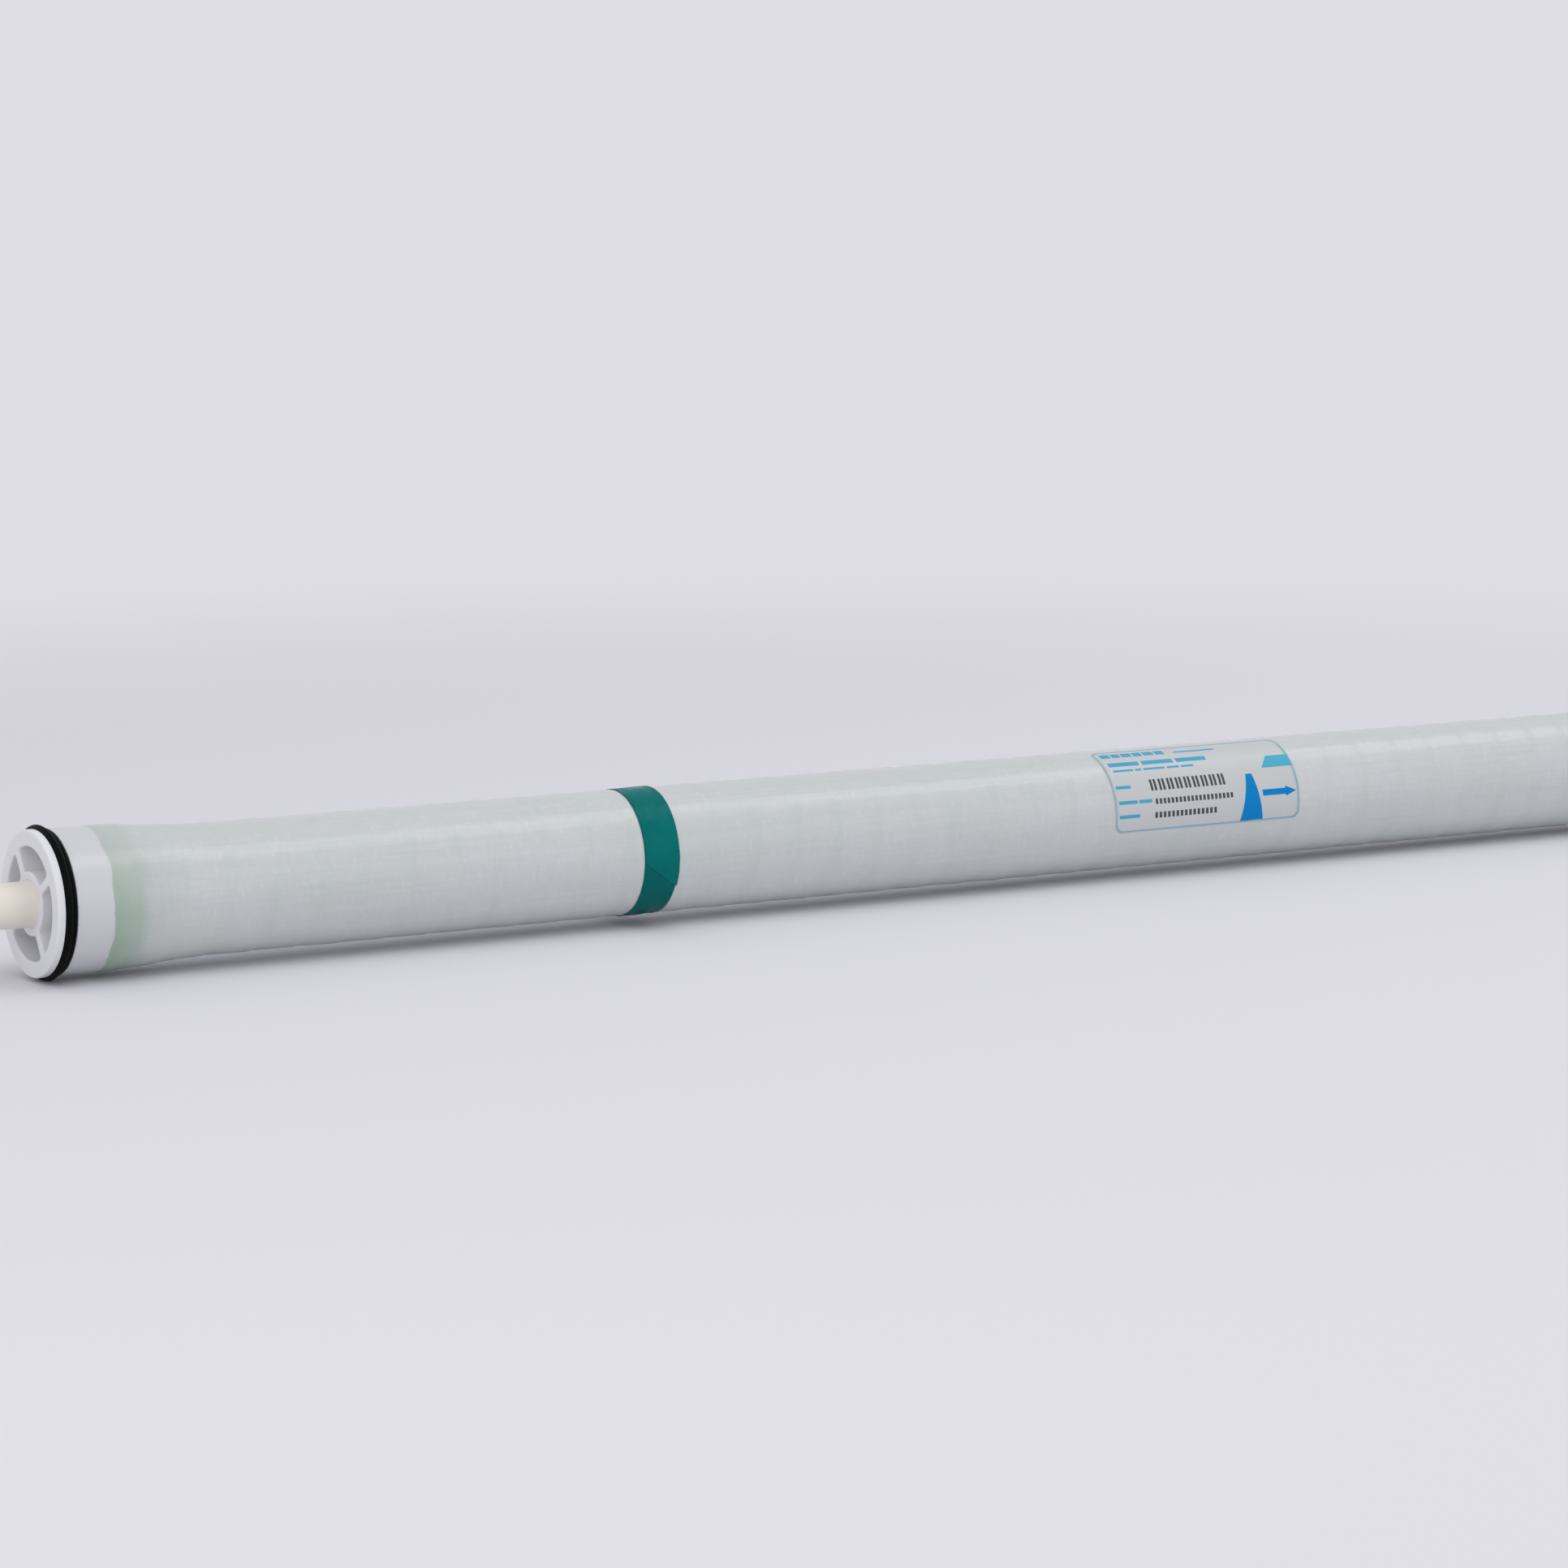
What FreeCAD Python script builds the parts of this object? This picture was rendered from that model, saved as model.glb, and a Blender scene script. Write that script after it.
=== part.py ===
import FreeCAD, Part
import math
import os
from types import SimpleNamespace

import Sketcher

# Spiral-wound reverse-osmosis element, 2540 format (2.5 inch nominal bore by 40 inch long).
# The element lies along X, with its feed end and brine seal at -X and its brine end at +X.
# The origin is on the axis, half-way along the product tube, and Z is up. Millimetres.

# Driving dimensions, one cell each.
DIMENSIONS = (
    # product (permeate) tube, with its two ends turned down to the sealing diameter
    ("tube_length", 1016.0),
    ("tube_diameter", 19.6),
    ("tube_bore", 14.2),
    ("tube_end_diameter", 19.05),
    ("tube_end_length", 30.2),
    ("tube_end_chamfer", 1.0),
    ("perforation_diameter", 3.0),
    ("perforation_pitch", 400.0),
    ("perforation_margin", 50.0),
    # end caps, the anti-telescoping devices
    ("cap_diameter", 61.0),
    ("cap_length", 25.9),
    ("cap_web_depth", 12.6),
    ("cap_flange_width", 3.4),
    ("cap_edge_chamfer", 0.6),
    ("cap_bore_clearance", 0.02),
    ("hub_diameter", 27.0),
    ("spoke_count", 4),
    ("spoke_width", 4.0),
    ("window_ledge", 3.15),
    ("window_corner_chamfer", 1.2),
    ("cap_clocking", 58.0),
    # brine seal and its groove
    ("groove_width", 5.4),
    ("groove_depth", 3.6),
    ("seal_end_gap", 0.15),
    ("seal_lip_stand", 1.9),
    ("seal_lip_nose", 1.8),
    ("seal_lip_thickness", 1.0),
    ("seal_heel_stand", 0.1),
    ("seal_heel_width", 2.3),
    # leaf pack
    ("carrier_thickness", 0.5),
    ("membrane_thickness", 0.3),
    ("spacer_thickness", 1.25),
    ("sheet_gap", 0.01),
    ("roll_clearance", 0.05),
    # fibreglass wrap and the fixing tape under it
    ("body_step", 2.84),
    ("wrap_thickness", 0.6),
    ("wrap_over_skirt", 0.5),
    ("wrap_over_tape", 0.7),
    ("wrap_inset", 0.1),
    ("wrap_end_gap", 0.2),
    ("end_tape_length", 25.0),
    # colour band and label on the wrap, both placed from the feed face
    ("band_start", 273.5),
    ("band_width", 16.8),
    ("band_thickness", 0.2),
    ("label_start", 521.5),
    ("label_length", 105.4),
    ("label_thickness", 0.15),
    ("label_arc", 95.0),
    ("label_centre_angle", 147.5),
    ("label_corner_radius", 4.0),
)


# The points of a sketched arc, as constraints number them; arcs run counter-clockwise.
START, END, CENTRE = 1, 2, 3

# Two lengths nearer than this are the same.
TOLERANCE = 1e-4


class Size:
    """A number together with the sheet expression that it comes from."""

    def __init__(self, number, text):
        self.number = number
        self.text = text

    def __add__(self, other):
        other = as_size(other)
        return Size(self.number + other.number, f"({self.text} + {other.text})")

    def __sub__(self, other):
        other = as_size(other)
        return Size(self.number - other.number, f"({self.text} - {other.text})")

    def __mul__(self, other):
        other = as_size(other)
        return Size(self.number * other.number, f"({self.text} * {other.text})")

    def __truediv__(self, other):
        other = as_size(other)
        return Size(self.number / other.number, f"({self.text} / {other.text})")

    def __neg__(self):
        return Size(-self.number, f"(0 - {self.text})")


def as_size(value):
    """A plain number as a Size; a Size stays as it is."""
    if isinstance(value, Size):
        return value
    return Size(value, str(value))


def root(size):
    return Size(math.sqrt(size.number), f"sqrt({size.text})")


def cosine(degrees):
    return Size(math.cos(math.radians(degrees.number)), f"cos({degrees.text} * 1 deg)")


def sine(degrees):
    return Size(math.sin(math.radians(degrees.number)), f"sin({degrees.text} * 1 deg)")


def make_sheet(doc):
    """Put the driving dimensions in the document's sheet and hand them back by name."""
    sheet = doc.addObject("Spreadsheet::Sheet", "Sizes")
    sizes = SimpleNamespace()
    for row, (alias, value) in enumerate(DIMENSIONS, start=1):
        sheet.set(f"A{row}", alias)
        sheet.set(f"B{row}", str(value))
        sheet.setAlias(f"B{row}", alias)
    doc.recompute()
    for alias, _ in DIMENSIONS:
        setattr(sizes, alias, Size(float(sheet.get(alias)), f"Sizes.{alias}"))
    return sizes


def add_fits(size):
    """Work out the radii and places that several pieces share."""
    size.half_tube = size.tube_length / 2
    size.half_face = size.half_tube - size.tube_end_length
    size.half_roll = size.half_face - size.cap_web_depth
    size.tube_radius = size.tube_diameter / 2
    size.hub_radius = size.hub_diameter / 2
    size.cap_radius = size.cap_diameter / 2
    size.groove_radius = size.cap_radius - size.groove_depth
    size.groove_end = size.cap_flange_width + size.groove_width
    size.body_radius = size.cap_radius - size.body_step
    size.wrap_end_radius = size.cap_radius - size.wrap_inset
    size.skirt_radius = size.wrap_end_radius - size.wrap_over_skirt

    # A leaf is a glued envelope, a permeate carrier between two membranes, and the feed spacer
    # that lies on it, with a hair of room after each.
    size.envelope_thickness = size.carrier_thickness + size.membrane_thickness * 2
    size.spacer_start = size.envelope_thickness + size.sheet_gap
    size.leaf_thickness = size.spacer_start + size.spacer_thickness + size.sheet_gap

    # The carriers' first half turns cover the tube. The two leaves then wind on from there, by
    # whole half turns, until the next one wouldn't fit inside the wrap.
    size.cover_radius = size.tube_radius + size.sheet_gap
    size.core_radius = size.cover_radius + size.carrier_thickness + size.sheet_gap
    space = size.body_radius - size.wrap_thickness - size.roll_clearance - size.core_radius
    size.half_turns = int(space.number / size.leaf_thickness.number) - 1
    # The last half turn ends one leaf's thickness outside the place where it starts.
    size.roll_radius = size.core_radius + size.leaf_thickness * (size.half_turns + 1)
    size.wrap_bore_radius = size.roll_radius + size.roll_clearance
    size.window_radius = size.wrap_bore_radius - size.window_ledge

    # The wrap comes down from the skirt to the body by an ogee, whose bend lies over the end of
    # the fixing tape.
    size.bend_radius = (size.wrap_end_radius + size.body_radius) / 2
    size.tape_radius = size.bend_radius - size.wrap_over_tape


def make_body(doc, label):
    body = doc.addObject("PartDesign::Body", label)
    body.Label = label
    return body


def origin_plane(body, role):
    for feature in body.Origin.OriginFeatures:
        if feature.Role == role:
            return feature
    raise ValueError(f"no {role} in {body.Label}")


def new_sketch(body, name, role):
    sketch = body.newObject("Sketcher::SketchObject", name)
    sketch.AttachmentSupport = (origin_plane(body, role), "")
    sketch.MapMode = "FlatFace"
    return sketch


def constrain(sketch, fixed, tied):
    """Add all constraints at once; each tied one ends in a Size and is bound to the sheet."""
    sketch.addConstraint([Sketcher.Constraint(*terms) for terms in fixed])
    first = sketch.ConstraintCount
    sketch.addConstraint([Sketcher.Constraint(*terms[:-1], terms[-1].number) for terms in tied])
    for index, terms in enumerate(tied, start=first):
        sketch.setExpression(f"Constraints[{index}]", terms[-1].text)


def arc_edge(start, end, radius, side):
    """The shorter arc of this radius between two points, bulging left (+1) or right (-1).

    A sketch keeps its arcs counter-clockwise, so one that bulges left is drawn from its end.
    """
    chord = end - start
    rise = radius - math.sqrt(radius * radius - chord.Length * chord.Length / 4)
    leftward = FreeCAD.Vector(-chord.y, chord.x, 0).normalize()
    middle = (start + end) * 0.5 + leftward * (rise * side)
    return Part.Arc(end, middle, start) if side > 0 else Part.Arc(start, middle, end)


def outline(body, name, role, corners):
    """Sketch a closed outline and tie every corner and arc to the sheet.

    A corner is (x, y), followed by a straight line to the next corner, or (x, y, radius, side),
    followed by an arc.
    """
    sketch = new_sketch(body, name, role)
    corners = [tuple(as_size(term) for term in corner[:3]) + corner[3:] for corner in corners]
    points = [FreeCAD.Vector(corner[0].number, corner[1].number, 0) for corner in corners]
    following = points[1:] + points[:1]
    first_points = []
    for corner, start, end in zip(corners, points, following):
        if len(corner) == 2:
            sketch.addGeometry(Part.LineSegment(start, end))
        else:
            sketch.addGeometry(arc_edge(start, end, corner[2].number, corner[3]))
        first_points.append(END if len(corner) > 2 and corner[3] > 0 else START)
    fixed = []
    tied = []
    for index, corner in enumerate(corners):
        begin = first_points[index]
        after = (index + 1) % len(corners)
        finish = START if begin == END else END
        fixed.append(("Coincident", index, finish, after, first_points[after]))
        tied.append(("DistanceX", -1, START, index, begin, corner[0]))
        tied.append(("DistanceY", -1, START, index, begin, corner[1]))
        if len(corner) > 2:
            tied.append(("Radius", index, corner[2]))
    constrain(sketch, fixed, tied)
    return sketch


def revolve(body, name, section):
    """Turn a section drawn in the XY plane once about the X axis."""
    feature = body.newObject("PartDesign::Revolution", name)
    feature.Profile = section
    feature.ReferenceAxis = (section, ["H_Axis"])
    feature.Angle = 360
    return feature


def pad(body, name, section, length, symmetric=False):
    feature = body.newObject("PartDesign::Pad", name)
    feature.Profile = section
    feature.SideType = "Symmetric" if symmetric else "One side"
    feature.Length = length.number
    feature.setExpression("Length", length.text)
    return feature


def chamfer(body, name, base, wanted, size):
    """Chamfer the edges of the base feature that the test picks out."""
    body.Document.recompute()
    edges = [f"Edge{i}" for i, edge in enumerate(base.Shape.Edges, start=1) if wanted(edge)]
    feature = body.newObject("PartDesign::Chamfer", name)
    feature.Base = (base, edges)
    feature.Size = size.number
    feature.setExpression("Size", size.text)
    return feature


def is_ring(edge, radius, x):
    """True for a circle about the X axis of this radius, at this x."""
    curve = edge.Curve
    if not isinstance(curve, Part.Circle) or abs(curve.Radius - radius.number) > TOLERANCE:
        return False
    return abs(curve.Center.x - x.number) < TOLERANCE


def ring(doc, label, start, width, inner_radius, thickness):
    """A plain band about the axis."""
    body = make_body(doc, label)
    outer_radius = inner_radius + thickness
    end = start + width
    corners = ((start, inner_radius), (end, inner_radius), (end, outer_radius), (start, outer_radius))
    revolve(body, f"{label}_turn", outline(body, f"{label}_section", "XY_Plane", corners))
    return body


def permeate_tube(doc, size):
    """The product tube: turned sealing ends, one through bore and crossed rows of perforations."""
    body = make_body(doc, "permeate_tube")
    bore = size.tube_bore / 2
    end_radius = size.tube_end_diameter / 2
    corners = (
        (-size.half_tube, bore),
        (size.half_tube, bore),
        (size.half_tube, end_radius),
        (size.half_face, end_radius),
        (size.half_face, size.tube_radius),
        (-size.half_face, size.tube_radius),
        (-size.half_face, end_radius),
        (-size.half_tube, end_radius),
    )
    stock = revolve(body, "tube_turn", outline(body, "tube_section", "XY_Plane", corners))
    rims = (-size.half_tube, size.half_tube)
    chamfer(body, "tube_end_chamfers", stock,
            lambda edge: any(is_ring(edge, end_radius, x) for x in rims), size.tube_end_chamfer)
    doc.recompute()

    row_end = size.half_roll - size.perforation_margin
    count = int(2 * row_end.number / size.perforation_pitch.number)
    for index, role in enumerate(("XY_Plane", "XZ_Plane")):
        # The second row is drilled a quarter turn round and half a pitch along.
        first = -row_end + size.perforation_pitch * (index / 2)
        hole = new_sketch(body, f"perforation_circle_{index + 1}", role)
        hole.addGeometry(Part.Circle(FreeCAD.Vector(first.number, 0, 0), FreeCAD.Vector(0, 0, 1),
                                     size.perforation_diameter.number / 2))
        constrain(hole, [("PointOnObject", 0, CENTRE, -1)],
                  [("DistanceX", -1, START, 0, CENTRE, first),
                   ("Radius", 0, size.perforation_diameter / 2)])
        drilled = body.newObject("PartDesign::Pocket", f"perforation_{index + 1}")
        drilled.Profile = hole
        drilled.SideType = "Symmetric"
        drilled.Length = size.tube_diameter.number * 2
        drilled.setExpression("Length", (size.tube_diameter * 2).text)
        doc.recompute()
        row = body.newObject("PartDesign::LinearPattern", f"perforation_row_{index + 1}")
        row.Originals = [drilled]
        row.Direction = (origin_plane(body, "X_Axis"), [""])
        row.Length = size.perforation_pitch.number * (count - 1)
        row.setExpression("Length", (size.perforation_pitch * (count - 1)).text)
        row.Occurrences = count
        body.Tip = row
        doc.recompute()
    return body


def half_turn(centre, radius, upper):
    """A half circle of a sheet's section, above or below the level axis."""
    return {"centre": as_size(centre), "radius": as_size(radius), "upper": upper}


def spiral(size, offset):
    """The half turns of one face of a sheet, from the inner end to the outer one.

    Half turns above the axis are centred half a leaf's thickness to one side and those below it
    as far to the other, so each starts where the last one ends, a leaf's thickness further out.
    """
    shift = size.leaf_thickness / 2
    turns = []
    for turn in range(size.half_turns):
        upper = turn % 2 == 0
        radius = size.core_radius + shift + offset + size.leaf_thickness * turn
        turns.append(half_turn(-shift if upper else shift, radius, upper))
    return turns


def sheet_section(body, name, turns, ends):
    """Sketch a sheet's section from its half turns and the straight edges that close it.

    An end is (first, second, first point, second point): the half turns that the edge joins, and
    at which of their points.
    """
    sketch = new_sketch(body, name, "YZ_Plane")
    fixed = []
    tied = []
    for index, turn in enumerate(turns):
        begin, finish = (0, math.pi) if turn["upper"] else (math.pi, 2 * math.pi)
        centre = FreeCAD.Vector(turn["centre"].number, 0, 0)
        circle = Part.Circle(centre, FreeCAD.Vector(0, 0, 1), turn["radius"].number)
        sketch.addGeometry(Part.ArcOfCircle(circle, begin, finish))
        fixed += [("PointOnObject", index, point, -1) for point in (START, END, CENTRE)]
        tied.append(("DistanceX", -1, START, index, CENTRE, turn["centre"]))
        tied.append(("Radius", index, turn["radius"]))
    for first, second, first_point, second_point in ends:
        index = sketch.addGeometry(Part.LineSegment(
            sketch.getPoint(first, first_point), sketch.getPoint(second, second_point)))
        fixed.append(("Coincident", index, START, first, first_point))
        fixed.append(("Coincident", index, END, second, second_point))
    constrain(sketch, fixed, tied)
    return sketch


def wind(body, section, size, leaf):
    """Make a sheet of the leaf pack as long as the roll; leaf 2 starts half a turn round."""
    pad(body, f"{body.Label}_length", section, size.half_roll * 2, symmetric=True)
    half_turn_back = FreeCAD.Rotation(FreeCAD.Vector(1, 0, 0), 180 * (leaf - 1))
    body.Placement = FreeCAD.Placement(FreeCAD.Vector(), half_turn_back)
    return body


def membrane_envelope(doc, size, leaf):
    """Glued envelope: a permeate carrier between two membranes, open to the tube.

    The carrier alone makes half a turn on the tube, moving out by its own thickness to pass over
    the end of the other leaf's carrier.
    """
    label = f"membrane_envelope_{leaf}"
    body = make_body(doc, label)
    shift = (size.core_radius - size.cover_radius) / 2
    cover = size.cover_radius + shift
    inner = [half_turn(shift, cover, upper=False)] + spiral(size, 0)
    outer = [half_turn(shift, cover + size.carrier_thickness, upper=False)]
    outer += spiral(size, size.envelope_thickness)
    count = len(inner)
    # The last edge is the step where the membranes start on the carrier.
    ends = ((0, count, START, START), (count - 1, 2 * count - 1, END, END),
            (count, count + 1, END, START))
    section = sheet_section(body, f"{label}_section", inner + outer, ends)
    return wind(body, section, size, leaf)


def feed_spacer(doc, size, leaf):
    """Feed spacer net, on its leaf's envelope and under the next one."""
    label = f"feed_spacer_{leaf}"
    body = make_body(doc, label)
    turns = spiral(size, size.spacer_start)
    turns += spiral(size, size.spacer_start + size.spacer_thickness)
    count = size.half_turns
    ends = ((0, count, START, START), (count - 1, 2 * count - 1, END, END))
    section = sheet_section(body, f"{label}_section", turns, ends)
    return wind(body, section, size, leaf)


def window_outline(body, label, size):
    """One flow window: between hub and rim, and between two spokes of constant width."""
    half_spoke = size.spoke_width / 2
    step = as_size(360.0) / size.spoke_count
    along = (cosine(step), sine(step))
    hub_reach = root(size.hub_radius * size.hub_radius - half_spoke * half_spoke)
    rim_reach = root(size.window_radius * size.window_radius - half_spoke * half_spoke)

    def beside_next_spoke(reach):
        return (along[0] * reach + along[1] * half_spoke, along[1] * reach - along[0] * half_spoke)

    corners = (
        (hub_reach, half_spoke),
        (rim_reach, half_spoke, size.window_radius, -1),
        beside_next_spoke(rim_reach),
        beside_next_spoke(hub_reach) + (size.hub_radius, 1),
    )
    return outline(body, f"{label}_window_outline", "YZ_Plane", corners)


def end_cap(doc, size, label):
    """Spoked end cap: hub on the tube, rim with the seal groove, and a skirt over the roll.

    Its face is at x = 0 of its own frame, and it reaches into the element along +X.
    """
    body = make_body(doc, label)
    bore = size.tube_radius + size.cap_bore_clearance
    corners = (
        (0, bore),
        (0, size.cap_radius),
        (size.cap_flange_width, size.cap_radius),
        (size.cap_flange_width, size.groove_radius),
        (size.groove_end, size.groove_radius),
        (size.groove_end, size.skirt_radius),
        (size.cap_length, size.skirt_radius),
        (size.cap_length, size.wrap_bore_radius),
        (size.cap_web_depth, size.wrap_bore_radius),
        (size.cap_web_depth, bore),
    )
    revolve(body, f"{label}_turn", outline(body, f"{label}_section", "XY_Plane", corners))
    window = body.newObject("PartDesign::Pocket", f"{label}_window")
    window.Profile = window_outline(body, label, size)
    window.Reversed = True
    window.Length = size.cap_web_depth.number
    window.setExpression("Length", size.cap_web_depth.text)
    windows = body.newObject("PartDesign::PolarPattern", f"{label}_windows")
    windows.Originals = [window]
    windows.Axis = (origin_plane(body, "X_Axis"), [""])
    windows.Angle = 360
    windows.Occurrences = int(size.spoke_count.number)
    windows.setExpression("Occurrences", size.spoke_count.text)
    body.Tip = windows
    eased = chamfer(body, f"{label}_window_corners", windows,
                    lambda edge: is_window_corner(edge, size), size.window_corner_chamfer)
    chamfer(body, f"{label}_face_edge", eased,
            lambda edge: is_ring(edge, size.cap_radius, as_size(0.0)), size.cap_edge_chamfer)
    return body


def is_window_corner(edge, size):
    """True for the straight edges along the cap's axis, at the hub or at the rim."""
    start, end = edge.Vertexes[0].Point, edge.Vertexes[-1].Point
    reach = math.hypot(start.y, start.z)
    margin = size.window_ledge.number / 2
    between = size.hub_radius.number - margin < reach < size.window_radius.number + margin
    return between and abs(abs(end.x - start.x) - size.cap_web_depth.number) < TOLERANCE


def place_cap(body, size, at_feed_end):
    """Put a cap's face at its end of the element, with its spokes clocked as the feed cap's."""
    clocking = FreeCAD.Rotation(FreeCAD.Vector(1, 0, 0), size.cap_clocking.number)
    facing = FreeCAD.Rotation(FreeCAD.Vector(0, 0, 1), 0 if at_feed_end else 180)
    place = -size.half_face if at_feed_end else size.half_face
    body.Placement = FreeCAD.Placement(FreeCAD.Vector(place.number, 0, 0), clocking.multiply(facing))
    body.setExpression("Placement.Base.x", place.text)


def brine_seal(doc, size):
    """U-cup: its heel sits at the back of the groove and its lips open towards the feed.

    The outer lip swells from the heel to a crest near its front edge and turns in from there.
    """
    body = make_body(doc, "brine_seal")
    back = size.groove_end - size.seal_end_gap
    front = size.cap_flange_width + size.seal_end_gap
    seat = size.groove_radius + size.seal_end_gap
    heel = size.cap_radius + size.seal_heel_stand
    crest = size.cap_radius + size.seal_lip_stand
    thickness = size.seal_lip_thickness
    crotch = back - size.seal_heel_width
    corners = (
        (back, seat),
        (back, heel),
        (front + size.seal_lip_nose, crest),
        (front, heel),
        (front, size.cap_radius - thickness),
        (crotch, size.cap_radius - thickness),
        (crotch, seat + thickness),
        (front, seat + thickness),
        (front, seat),
    )
    revolve(body, "seal_turn", outline(body, "seal_section", "XY_Plane", corners))
    body.setExpression("Placement.Base.x", (-size.half_face).text)
    return body


def outer_wrap(doc, size):
    """Fibreglass wrap: over both skirts, down an ogee of two equal arcs, and level between."""
    body = make_body(doc, "outer_wrap")
    front = size.half_face - size.groove_end - size.wrap_end_gap
    skirt_end = size.half_face - size.cap_length
    tape_end = skirt_end - size.end_tape_length
    level = tape_end - size.end_tape_length
    drop = size.wrap_end_radius - size.bend_radius
    curve = (size.end_tape_length * size.end_tape_length + drop * drop) / (drop * 2)
    corners = (
        (-front, size.wrap_end_radius),
        (-skirt_end, size.wrap_end_radius, curve, 1),
        (-tape_end, size.bend_radius, curve, -1),
        (-level, size.body_radius),
        (level, size.body_radius, curve, -1),
        (tape_end, size.bend_radius, curve, 1),
        (skirt_end, size.wrap_end_radius),
        (front, size.wrap_end_radius),
        (front, size.skirt_radius),
        (skirt_end, size.skirt_radius),
        (skirt_end, size.tape_radius),
        (tape_end, size.tape_radius),
        (tape_end, size.wrap_bore_radius),
        (-tape_end, size.wrap_bore_radius),
        (-tape_end, size.tape_radius),
        (-skirt_end, size.tape_radius),
        (-skirt_end, size.skirt_radius),
        (-front, size.skirt_radius),
    )
    revolve(body, "wrap_turn", outline(body, "wrap_section", "XY_Plane", corners))
    return body


def end_tapes(doc, size):
    """Fixing tape wound on the roll behind each cap."""
    first = size.half_face - size.cap_length
    thickness = size.tape_radius - size.roll_radius
    tapes = doc.addObject("Part::Compound", "end_tapes")
    tapes.Links = [
        ring(doc, "feed_tape", -first, size.end_tape_length, size.roll_radius, thickness),
        ring(doc, "brine_tape", first - size.end_tape_length, size.end_tape_length,
             size.roll_radius, thickness),
    ]
    return tapes


def cylinder_along_x(doc, name, radius, length):
    feature = doc.addObject("Part::Cylinder", name)
    feature.setExpression("Radius", radius.text)
    feature.setExpression("Height", length.text)
    feature.Placement = FreeCAD.Placement(
        FreeCAD.Vector(), FreeCAD.Rotation(FreeCAD.Vector(0, 1, 0), 90))
    return feature


def label_film(doc, size):
    """Label film laid on the wrap: a patch of a thin sleeve, with rounded corners."""
    outer_radius = size.body_radius + size.label_thickness
    sleeve = doc.addObject("Part::Cut", "label_sleeve")
    sleeve.Base = cylinder_along_x(doc, "label_outside", outer_radius, size.label_length)
    sleeve.Tool = cylinder_along_x(doc, "label_inside", size.body_radius, size.label_length)

    patch = make_body(doc, "label_patch")
    corner = size.label_corner_radius
    side = outer_radius * sine(size.label_arc / 2)
    right = size.label_length - corner
    corners = (
        (corner, -side),
        (right, -side, corner, -1),
        (size.label_length, corner - side),
        (size.label_length, side - corner, corner, -1),
        (right, side),
        (corner, side, corner, -1),
        (0, side - corner),
        (0, corner - side, corner, -1),
    )
    pad(patch, "label_patch_height", outline(patch, "label_outline", "XY_Plane", corners),
        outer_radius + corner)
    facing = FreeCAD.Rotation(FreeCAD.Vector(1, 0, 0), size.label_centre_angle.number - 90)
    patch.Placement = FreeCAD.Placement(FreeCAD.Vector(), facing)

    film = doc.addObject("Part::Common", "label")
    film.Base = sleeve
    film.Tool = patch
    film.setExpression("Placement.Base.x", (size.label_start - size.half_face).text)
    return film


def check(doc, pieces):
    """Stop if any feature failed or any piece has no sound shape."""
    for item in doc.Objects:
        for state in item.State:
            if state in ("Invalid", "Error"):
                raise ValueError(f"{item.Label} is {state}")
    for piece in pieces:
        shape = piece.Shape
        if shape.isNull() or not shape.isValid() or not shape.Solids:
            raise ValueError(f"{piece.Label} has no sound shape")


def build():
    doc = FreeCAD.newDocument("membrane_element")
    size = make_sheet(doc)
    add_fits(size)
    feed_cap = end_cap(doc, size, "feed_end_cap")
    place_cap(feed_cap, size, at_feed_end=True)
    brine_cap = end_cap(doc, size, "brine_end_cap")
    place_cap(brine_cap, size, at_feed_end=False)
    pieces = [
        permeate_tube(doc, size),
        feed_cap,
        brine_cap,
        brine_seal(doc, size),
        outer_wrap(doc, size),
        end_tapes(doc, size),
        ring(doc, "colour_band", size.band_start - size.half_face, size.band_width,
             size.body_radius, size.band_thickness),
        label_film(doc, size),
    ]
    for leaf in (1, 2):
        pieces.append(membrane_envelope(doc, size, leaf))
        pieces.append(feed_spacer(doc, size, leaf))
    doc.recompute()
    check(doc, pieces)
    return pieces


os.makedirs("parts", exist_ok=True)
for piece in build():
    piece.Shape.exportStep(f"parts/{piece.Label}.step")
    print(f"{piece.Label}: {piece.Shape.Volume / 1000:.2f} cm3")
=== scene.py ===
"""Looks of the spiral-wound membrane element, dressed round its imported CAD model.

Metres, in the row frame: the element lies along X with its feed end at -X, its axis on the
origin, and +Z up. Angles round the axis are in degrees from -Y, the side that faces the camera,
with 90 at the top.
"""

import math

import bmesh
import bpy
from mathutils import Matrix, Vector, noise


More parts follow.
